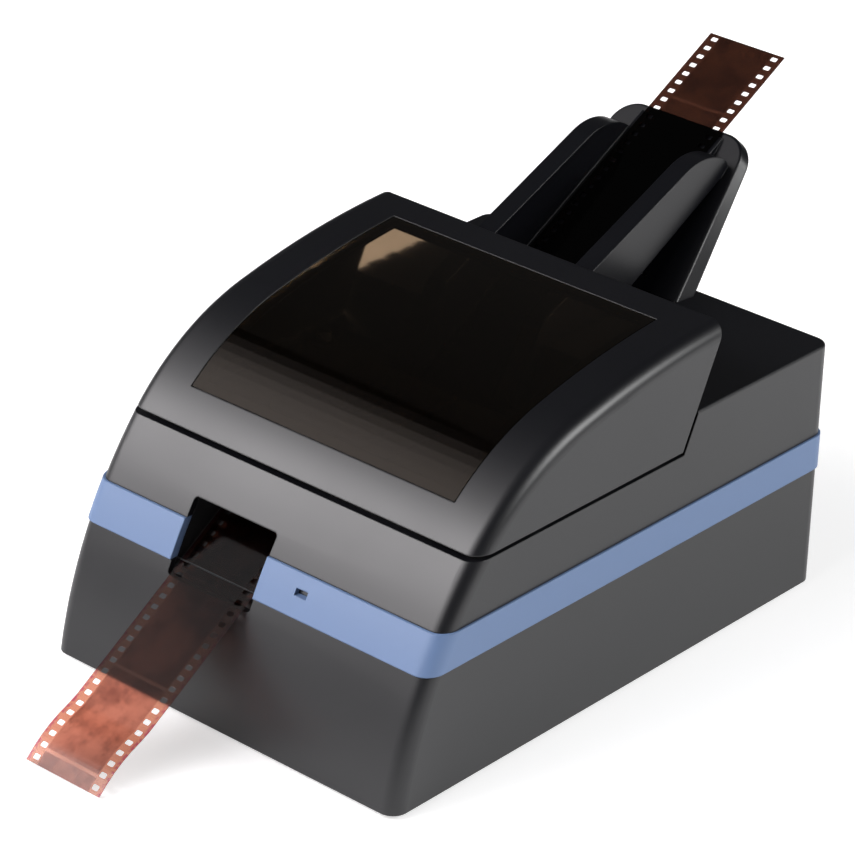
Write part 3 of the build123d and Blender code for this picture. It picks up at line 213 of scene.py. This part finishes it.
case_plastic = moulded("case_plastic", CASE_BLACK, 0.35)
chute_plastic = moulded("chute_plastic", CASE_BLACK, 0.30)
case_plastic.set(Specular_IOR_Level=0.58)
chute_plastic.set(Specular_IOR_Level=0.4)
band_plastic = moulded("band_plastic", BAND_BLUE, 0.42, lift=1.06)
inner_plastic = moulded("inner_plastic", (0.004, 0.004, 0.0045), 0.6)
bush_plastic = moulded("bush_plastic", (0.55, 0.53, 0.45), 0.45, lift=1.1)
gear_plastic = moulded("gear_plastic", (0.72, 0.69, 0.6), 0.35, lift=1.1)
chip_plastic = moulded("chip_plastic", (0.012, 0.012, 0.013), 0.5, grain=6000.0)
rubber = moulded("rubber", (0.012, 0.012, 0.012), 0.75, grain=1800.0, depth=0.00004)

dress(["lower_housing", "upper_cover", "hood_shell", "power_rocker"], case_plastic)
dress(["film_chute"], chute_plastic)
dress(["blue_band"], band_plastic)
dress(
    ["inner_tray", "hinge_arm_left", "hinge_arm_right", "exit_throat", "gate_lower", "gate_upper"],
    inner_plastic,
)
dress(["lens_holder", "lamp_cover", "switch_body"], inner_plastic)
dress(["shaft_bushes"], bush_plastic)
dress(["entrance_pulley", "exit_pulley", "entrance_gear", "motor_pinion"], gear_plastic)
dress(["board_chips", "power_jack"], chip_plastic)
dress(["hood_buffers", "rubber_feet", "entrance_tyres", "exit_tyres"], rubber)
dress(["entrance_pinch_tyres", "exit_pinch_tyres", "drive_belt"], rubber)
print("plastic finishes done")

# %% [markdown]
# ## The smoked window
# The window is a bent sheet of brown-tinted acrylic.  Light goes through it and comes back
# off its smooth face, so it is a transmissive shader with the tint as its colour.  The
# pane has two faces, and each tints the light once.  Its reflection is warm as well, so
# the specular tint is a pale brown.

# %% Window finish
window_finish = Finish("smoked_acrylic")
haze = window_finish.noise(18.0, 2.0)
window_finish.set(
    Base_Color=window_finish.blend(haze, (0.24, 0.165, 0.10), (0.27, 0.185, 0.115)),
    Roughness=0.05 + haze * 0.03,
    IOR=1.49,
    Transmission_Weight=1.0,
    Specular_Tint=(1.0, 0.87, 0.75, 1.0),
)
dress(["hood_window"], window_finish)
print("window finish done")

# %% [markdown]
# ## The pane
# The pane touches its ledge all round.  A copy that is a few hundredths of a millimetre
# smaller keeps the two faces from showing through each other.  The engineering mesh is
# loose triangles, so the copy's doubles are merged first: otherwise each triangle would
# move by itself and open its seams.  Smooth shading with sharp edges hides the facets.

# %% Window pane
PANE_SHRINK = 0.00006
PANE_MERGE = 0.000002
PANE_SHARP = math.radians(25)
pane_mesh = nodes["hood_window"].data.copy()
pane_mesh.name = "window_pane"
pane_mesh.transform(nodes["hood_window"].matrix_world)
shaper = bmesh.new()
shaper.from_mesh(pane_mesh)
bmesh.ops.remove_doubles(shaper, verts=shaper.verts, dist=PANE_MERGE)
shaper.normal_update()
moves = [vertex.normal * PANE_SHRINK for vertex in shaper.verts]
for vertex, move in zip(shaper.verts, moves):
    vertex.co -= move
print("pane open edges", sum(not edge.is_manifold for edge in shaper.edges))
shaper.to_mesh(pane_mesh)
shaper.free()
pane_mesh.shade_smooth()
pane_mesh.set_sharp_from_angle(angle=PANE_SHARP)
pane = bpy.data.objects.new("window_pane", pane_mesh)
bpy.context.scene.collection.objects.link(pane)
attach(pane, "hood")
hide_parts("hood_window")

# %% Lens finish
lens_finish = Finish("coated_lens")
ring = lens_finish.noise(60.0, 1.0)
lens_finish.set(
    Base_Color=lens_finish.blend(ring, (0.30, 0.28, 0.42), (0.34, 0.36, 0.5)),
    Roughness=0.02 + ring * 0.01,
    IOR=1.6,
    Transmission_Weight=1.0,
)
dress(["front_lens"], lens_finish)
print("lens finish done")

# %% [markdown]
# ## Metals, boards and small parts
# Shafts are ground along their length, and sheet metal is rolled, so both get a noise
# that is stretched along one direction.  The circuit boards have a green lacquer with
# faint tracks under it, drawn by a fine checker of two greens.

# %% Metal finishes
def metal(name, colour, roughness, stretch):
    finish = Finish(name)
    point = finish.add("ShaderNodeMapping", None, {"Vector": finish.place(), "Scale": stretch})
    grain = finish.noise(1.0, 3.0, 0.6, at=point)
    shade = tuple(c * 0.8 for c in colour)
    finish.set(
        Base_Color=finish.blend(grain, shade, colour),
        Roughness=roughness - 0.06 + grain * 0.14,
        Metallic=1.0,
    )
    finish.bump(grain, 0.00002, 0.3)
    return finish


ground_steel = metal("ground_steel", (0.58, 0.58, 0.59), 0.28, (200.0, 6000.0, 6000.0))
sheet_steel = metal("sheet_steel", (0.55, 0.56, 0.56), 0.34, (900.0, 300.0, 4000.0))
screw_steel = metal("screw_steel", (0.45, 0.45, 0.46), 0.3, (3000.0, 3000.0, 3000.0))
socket_steel = metal("socket_steel", (0.6, 0.6, 0.6), 0.26, (800.0, 3000.0, 3000.0))
dark_metal = metal("dark_metal", (0.03, 0.03, 0.032), 0.38, (1200.0, 1200.0, 4000.0))
dress(["hinge_pins", "entrance_shaft", "exit_shaft", "motor_shaft"], ground_steel)
dress(["entrance_pinch_shaft", "exit_pinch_shaft"], ground_steel)
dress(["frame_plate_left", "frame_plate_right", "motor_bracket"], sheet_steel)
dress(["motor_screws", "sensor_screws", "board_screws", "case_screws"], screw_steel)
dress(["tray_screws", "frame_screws", "chute_screws"], screw_steel)
dress(["usb_socket"], socket_steel)
dress(["drive_motor", "lens_barrel"], dark_metal)
print("metal finishes done")

# %% Board finishes
def board(name):
    finish = Finish(name)
    tracks = finish.add("ShaderNodeTexBrick", None, {
        "Vector": finish.place(), "Scale": 90.0, "Mortar Size": 0.03, "Mortar Smooth": 0.4,
    }, output=1)
    grain = finish.noise(900.0, 2.0)
    finish.set(
        Base_Color=finish.blend(tracks, (0.012, 0.10, 0.035), (0.03, 0.2, 0.07)),
        Roughness=0.3 + grain * 0.12,
    )
    finish.bump(tracks, 0.00003, 0.4)
    return finish


dress(["sensor_board", "main_board", "lamp_board"], board("board_lacquer"))
diffuser_finish = moulded("diffuser_finish", (0.8, 0.8, 0.78), 0.55, lift=1.03)
dress(["diffuser"], diffuser_finish)
cable_finish = moulded("cable_finish", (0.42, 0.44, 0.47), 0.5, grain=900.0, lift=1.1)
dress(["sensor_cable"], cable_finish)
light_finish = moulded("light_finish", (0.02, 0.024, 0.028), 0.18, lift=1.3)
dress(["status_light"], light_finish)
print("board and small finishes done")

# %% [markdown]
# ## Real film
# The engineering model has each strip of film with square perforations.  Real ones have
# round corners, and a row of a hundred is work for Geometry Nodes: one tile of film, as
# long as the perforations' pitch, is filled between a rectangle and two rounded holes,
# then repeated along the strip and joined.

# %% Film sizes
FILM_X = -0.0177
FILM_WIDTH = 0.035
FILM_PITCH = 0.00475
HOLE_SPAN = 0.02818
HOLE_WIDE = 0.0028
HOLE_LONG = 0.00198
HOLE_CORNER = 0.0005
FILM_THICK = 0.00016
FILM_MERGE = 0.00001
ARCH_LENGTH = 0.026
print("film", FILM_WIDTH, "wide, perforations every", FILM_PITCH)


# %% The film tile tree
def film_tree():
    tree = bpy.data.node_groups.new("film_strip", "GeometryNodeTree")
    face = tree.interface
    for name, kind, value in (
        ("Tiles", "NodeSocketInt", 40), ("Pitch", "NodeSocketFloat", FILM_PITCH),
        ("Width", "NodeSocketFloat", FILM_WIDTH), ("Thickness", "NodeSocketFloat", FILM_THICK),
        ("Hole Span", "NodeSocketFloat", HOLE_SPAN), ("Hole Width", "NodeSocketFloat", HOLE_WIDE),
        ("Hole Length", "NodeSocketFloat", HOLE_LONG),
        ("Hole Corner", "NodeSocketFloat", HOLE_CORNER),
    ):
        socket = face.new_socket(name, in_out="INPUT", socket_type=kind)
        socket.default_value = value
    face.new_socket("Film", in_out="INPUT", socket_type="NodeSocketMaterial")
    face.new_socket("Geometry", in_out="OUTPUT", socket_type="NodeSocketGeometry")
    new = tree.nodes.new
    join = tree.links.new
    entry = new("NodeGroupInput").outputs
    # one hole: a rectangle with round corners, placed left and right
    hole = new("GeometryNodeCurvePrimitiveQuadrilateral")
    join(entry["Hole Width"], hole.inputs["Width"])
    join(entry["Hole Length"], hole.inputs["Height"])
    rounded = new("GeometryNodeFilletCurve")
    rounded.mode = "POLY"
    join(hole.outputs[0], rounded.inputs["Curve"])
    join(entry["Hole Corner"], rounded.inputs["Radius"])
    for item in rounded.inputs:
        if item.name == "Count":
            item.default_value = 3
    outline = new("GeometryNodeCurvePrimitiveQuadrilateral")
    join(entry["Width"], outline.inputs["Width"])
    join(entry["Pitch"], outline.inputs["Height"])
    gather = new("GeometryNodeJoinGeometry")
    join(outline.outputs[0], gather.inputs[0])
    for way in (-0.5, 0.5):
        offset = new("ShaderNodeMath")
        offset.operation = "MULTIPLY"
        offset.inputs[1].default_value = way
        join(entry["Hole Span"], offset.inputs[0])
        place = new("ShaderNodeCombineXYZ")
        join(offset.outputs[0], place.inputs["X"])
        move = new("GeometryNodeTransform")
        join(rounded.outputs[0], move.inputs["Geometry"])
        join(place.outputs[0], move.inputs["Translation"])
        join(move.outputs[0], gather.inputs[0])
    tile = new("GeometryNodeFillCurve")
    join(gather.outputs[0], tile.inputs[0])
    # a row of tiles, one pitch apart
    row = new("GeometryNodeMeshLine")
    step = new("ShaderNodeCombineXYZ")
    join(entry["Pitch"], step.inputs["Y"])
    join(entry["Tiles"], row.inputs["Count"])
    join(step.outputs[0], row.inputs["Offset"])
    spread = new("GeometryNodeInstanceOnPoints")
    join(row.outputs[0], spread.inputs["Points"])
    join(tile.outputs[0], spread.inputs["Instance"])
    real = new("GeometryNodeRealizeInstances")
    join(spread.outputs[0], real.inputs[0])
    weld = new("GeometryNodeMergeByDistance")
    weld.inputs["Distance"].default_value = FILM_MERGE
    join(real.outputs[0], weld.inputs[0])
    # give the sheet its thickness and close its underside
    thick = new("GeometryNodeExtrudeMesh")
    thick.inputs["Individual"].default_value = False
    join(weld.outputs[0], thick.inputs["Mesh"])
    join(entry["Thickness"], thick.inputs["Offset Scale"])
    under = new("GeometryNodeFlipFaces")
    join(weld.outputs[0], under.inputs[0])
    both = new("GeometryNodeJoinGeometry")
    join(thick.outputs[0], both.inputs[0])
    join(under.outputs[0], both.inputs[0])
    close = new("GeometryNodeMergeByDistance")
    close.inputs["Distance"].default_value = FILM_MERGE
    join(both.outputs[0], close.inputs[0])
    paint = new("GeometryNodeSetMaterial")
    join(close.outputs[0], paint.inputs["Geometry"])
    join(entry["Film"], paint.inputs["Material"])
    leave = new("NodeGroupOutput")
    join(paint.outputs[0], leave.inputs["Geometry"])
    return tree


FILM_TREE = film_tree()
print("film tree", len(FILM_TREE.nodes), "nodes")


# %% The film strips
def film_strip(name, tiles, place, finish, arch=0.0):
    """A strip of film; place takes the flat strip, first tile at Y = 0, to its slope.

    arch is how far the front end rises off a straight line, as film does from its roll.
    """
    host = bpy.data.objects.new(name + "_host", bpy.data.meshes.new(name + "_host"))
    bpy.context.scene.collection.objects.link(host)
    modifier = host.modifiers.new("film", "NODES")
    modifier.node_group = FILM_TREE
    identifiers = {item.name: item.identifier for item in FILM_TREE.interface.items_tree}
    modifier[identifiers["Tiles"]] = tiles
    modifier[identifiers["Film"]] = finish.material
    graph = bpy.context.evaluated_depsgraph_get()
    mesh = bpy.data.meshes.new_from_object(host.evaluated_get(graph))
    bpy.data.objects.remove(host)
    for vertex in mesh.vertices:
        along = (vertex.co.y + FILM_PITCH / 2) / ARCH_LENGTH
        if along < 1.0:
            vertex.co.z += 4 * arch * max(0.0, along) * (1.0 - along)
    mesh.transform(place)
    mesh.name = name
    strip = bpy.data.objects.new(name, mesh)
    bpy.context.scene.collection.objects.link(strip)
    print(name, "tiles", tiles, "faces", len(mesh.polygons))
    return strip


# %% [markdown]
# ## The look of a colour negative
# A developed colour negative is an orange-brown sheet.  Each picture is a darker field of
# 24 by 36 mm with soft shapes in it, and a clear line parts it from the next.  The shapes
# here are blurred noise, a different one in each picture.  The pattern is measured along
# and across the strip, so the surface point is first turned into the strip's own plane.
# The sheet is so thin that it hardly bends light, so its IOR is set low.

# %% Film finish
FRAME_PITCH = 8 * FILM_PITCH
FRAME_HALF_LENGTH = (0.0186, 0.0180)
FRAME_HALF_WIDTH = (0.0125, 0.0119)
MARGIN = (0.0155, 0.0172)


def film_finish(name, slope, origin, first_gap, clear, light, dark, tint):
    """Colour, picture fields and see-through for one strip that slopes by an angle."""
    finish = Finish(name)
    point = finish.add("ShaderNodeVectorMath", {"operation": "SUBTRACT"}, {
        0: finish.place(), 1: origin,
    })
    parts = finish.tree.nodes.new("ShaderNodeSeparateXYZ")
    finish.tree.links.new(point.socket, parts.inputs[0])
    across = Value(finish.tree, parts.outputs[0])
    along = Value(finish.tree, parts.outputs[1]) * math.cos(slope)
    along = along + Value(finish.tree, parts.outputs[2]) * math.sin(slope)
    picture = (along - first_gap).repeat(FRAME_PITCH)
    edge = (picture - FRAME_PITCH / 2).size().step(*FRAME_HALF_LENGTH)
    side = across.size().step(*FRAME_HALF_WIDTH)
    field = edge * side
    shapes = finish.noise(95.0, 3.0, 0.55)
    spots = finish.noise(240.0, 2.0, 0.5)
    density = (shapes.step(0.38, 0.66) * 0.75 + spots.step(0.5, 0.7) * 0.25) * field
    margin = across.size().step(*MARGIN) * finish.noise(700.0, 1.0).step(0.4, 0.6)
    base = finish.blend(field, clear, light)
    base = finish.blend(density, base, dark)
    base = finish.blend(margin * tint[3], base, tint[:3])
    finish.set(
        Base_Color=base, Roughness=0.10 + spots * 0.04, IOR=1.28, Transmission_Weight=1.0,
    )
    return finish


FEED_SLOPE = math.radians(28.4)
EXIT_SLOPE = math.radians(32.7)
feed_top = Vector((FILM_X, 0.144831, 0.1446))
# The feed strip is the same film as the exit strip, but its colours are set about ten times
# darker: painted shade, standing in for the dark chute the strip lies in.
feed_film_painted_shade = film_finish(
    "feed_film_painted_shade", FEED_SLOPE, tuple(feed_top), 0.0068,
    (0.050, 0.018, 0.011), (0.034, 0.012, 0.007), (0.018, 0.007, 0.005),
    (0.08, 0.02, 0.015, 0.4),
)
exit_top = Vector((FILM_X, -0.076269, 0.0675))
exit_film = film_finish(
    "exit_film", EXIT_SLOPE, tuple(exit_top), -0.0035,
    (0.62, 0.25, 0.16), (0.46, 0.15, 0.095), (0.24, 0.065, 0.04),
    (0.45, 0.04, 0.12, 0.8),
)
print("film finishes done")


# %% Both strips in their places
FEED_REACH = 0.0402
FEED_LIFT = 0.0003
EXIT_ARCH = 0.0017


def slope_matrix(origin, slope, start, lift):
    """Lays a flat strip on a slope, its first tile's middle at a distance from origin."""
    turn = Matrix.Rotation(slope, 4, "X")
    return Matrix.Translation(origin) @ turn @ Matrix.Translation((0, start, lift))


feed_tiles = 40
feed_start = FEED_REACH - feed_tiles * FILM_PITCH + FILM_PITCH / 2
feed_strip = film_strip(
    "feed_film_strip", feed_tiles,
    slope_matrix(feed_top, FEED_SLOPE, feed_start, FEED_LIFT), feed_film_painted_shade,
)
exit_tiles = 26
exit_start = -exit_tiles * FILM_PITCH + FILM_PITCH / 2
exit_strip = film_strip(
    "exit_film_strip", exit_tiles,
    slope_matrix(exit_top, EXIT_SLOPE, exit_start, 0.0), exit_film,
    arch=EXIT_ARCH,
)
for strip, node, body in (
    (feed_strip, "film_in", "fed_film"), (exit_strip, "film_out", "scanned_film"),
):
    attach(strip, body)
    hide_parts(node)

# %% [markdown]
# ## Studio
# The scanner stands on a seamless white table that reaches far past the picture.  Its
# white is a glow that only camera, mirrored and transmitted rays see, so it puts no more
# light on the object, and the floor keeps the object's shadow.  The world is a dim even
# grey, because black plastic mirrors all that is round it.

# %% Floor
FLOOR_REACH = 60.0
FLOOR_GLOW = 0.5


def shown(tree):
    """1 for the rays that show the background: straight, mirrored or through a pane."""
    path = tree.nodes.new("ShaderNodeLightPath").outputs
    straight = Value(tree, path["Is Camera Ray"])
    mirrored = Value(tree, path["Is Glossy Ray"])
    through = Value(tree, path["Is Transmission Ray"])
    return straight.most(mirrored).most(through)


floor_mesh = bpy.data.meshes.new("floor")
floor_corners = [
    (x * FLOOR_REACH, y * FLOOR_REACH, 0) for x, y in ((-1, -1), (1, -1), (1, 1), (-1, 1))
]
floor_mesh.from_pydata(floor_corners, [], [(0, 1, 2, 3)])
floor = bpy.data.objects.new("floor", floor_mesh)
bpy.context.scene.collection.objects.link(floor)
floor_finish = Finish("floor_white")
glow = floor_finish.blend(shown(floor_finish.tree), (0, 0, 0), (1, 1, 1))
floor_finish.set(
    Base_Color=(0.9, 0.9, 0.9, 1.0), Roughness=0.9,
    Emission_Color=glow, Emission_Strength=FLOOR_GLOW,
)
floor_mesh.materials.append(floor_finish.material)
print("floor", 2 * FLOOR_REACH, "m wide")

# %% World and side lamp
WORLD_GREY = 0.05
world = bpy.data.worlds.new("studio")
bpy.context.scene.world = world
world.use_nodes = True
background = world.node_tree.nodes["Background"]
background.inputs["Color"].default_value = (1, 1, 1, 1)
background.inputs["Strength"].default_value = WORLD_GREY


def lamp(name, place, target, size, power):
    data = bpy.data.lights.new(name, "AREA")
    data.shape = "RECTANGLE"
    data.size, data.size_y = size
    data.energy = power
    item = bpy.data.objects.new(name, data)
    item.location = place
    aim = Vector(target) - Vector(place)
    item.rotation_euler = aim.to_track_quat("-Z", "Y").to_euler()
    bpy.context.scene.collection.objects.link(item)
    return item


# %% [markdown]
# ## The key light
# The key light is a tall soft panel to the left of the front.  An area lamp shines evenly
# and shows its hard edge in polished black plastic.  A sheet of mesh with a glowing
# material can fade instead: this one rises from a dim foot, is brightest at its middle,
# and fades to its top and sides, so the hood's curve mirrors a calm gradient.  The camera
# and the rays that come through clear pieces don't see it.

# %% Key panel shape
PANEL_WIDTH = 3.6
PANEL_LOW, PANEL_HIGH = 0.25, 3.4
PANEL_ROWS = 36
PANEL_PLACE = Vector((-0.92, -1.02, 0.0))
panel_side = Vector((PANEL_PLACE.y, -PANEL_PLACE.x, 0)).normalized() * PANEL_WIDTH / 2
panel_mesh = bpy.data.meshes.new("key_panel")
corners = []
for row in range(PANEL_ROWS + 1):
    height = PANEL_LOW + (PANEL_HIGH - PANEL_LOW) * row / PANEL_ROWS
    for way in (-1, 1):
        corners.append(PANEL_PLACE + panel_side * way + Vector((0, 0, height)))
panel_mesh.from_pydata(
    corners, [], [(2 * r, 2 * r + 1, 2 * r + 3, 2 * r + 2) for r in range(PANEL_ROWS)]
)
panel = bpy.data.objects.new("key_panel", panel_mesh)
bpy.context.scene.collection.objects.link(panel)
print("key panel", PANEL_WIDTH, "m wide,", PANEL_HIGH - PANEL_LOW, "m tall")

# %% Key panel light
PANEL_GLOW = 10.5
PANEL_ALONG = (-0.743, 0.670)
panel_finish = Finish("key_panel_light")
parts = panel_finish.tree.nodes.new("ShaderNodeSeparateXYZ")
panel_finish.tree.links.new(panel_finish.place().socket, parts.inputs[0])
height = Value(panel_finish.tree, parts.outputs[2])
aside = Value(panel_finish.tree, parts.outputs[0]) * PANEL_ALONG[0]
aside = aside + Value(panel_finish.tree, parts.outputs[1]) * PANEL_ALONG[1]
rise = height.step(0.36, 0.90) * 0.85 + 0.15
fall = 1.0 - (height + aside * 1.2).step(1.16, 1.82) * 0.87 - height.step(1.2, 3.3) * 0.13
sides = (1.0 - aside.step(0.55, 1.75)) * (1.0 - (aside * -1.0).step(0.0, 1.1) * 0.75)
shade = panel_finish.blend(rise * fall.most(0.0) * sides, (0, 0, 0), (1.0, 0.972, 0.99))
panel_finish.set(
    Base_Color=(0, 0, 0, 1), Roughness=1.0,
    Emission_Color=shade, Emission_Strength=PANEL_GLOW,
)
panel_mesh.materials.append(panel_finish.material)
panel.visible_camera = False
panel.visible_transmission = False

lamp("right_lamp", (1.5, 0.7, 1.0), (0.5, 0.2, 0), (0.8, 0.8), 25.0)

# %% [markdown]
# ## Camera
# The camera stands where the photograph was taken from.  Its place, turn and lens were
# worked out from the case's edges and from the film's perforations, whose pitch is known.

# %% Camera
CAMERA_LENS = 173.51
CAMERA_PLACE = (0.83597, -0.99752, 0.74119)
CAMERA_TURN = (62.831, -1.783, 41.413)
camera_data = bpy.data.cameras.new("camera")
camera_data.sensor_width = 36.0
camera_data.lens = CAMERA_LENS
camera_data.clip_end = 20.0
camera = bpy.data.objects.new("camera", camera_data)
camera.location = CAMERA_PLACE
camera.rotation_euler = Euler([math.radians(angle) for angle in CAMERA_TURN], "XYZ")
bpy.context.scene.collection.objects.link(camera)
bpy.context.scene.camera = camera
print("camera", CAMERA_LENS, "mm lens")

# %% View transform
bpy.context.scene.view_settings.view_transform = "Standard"
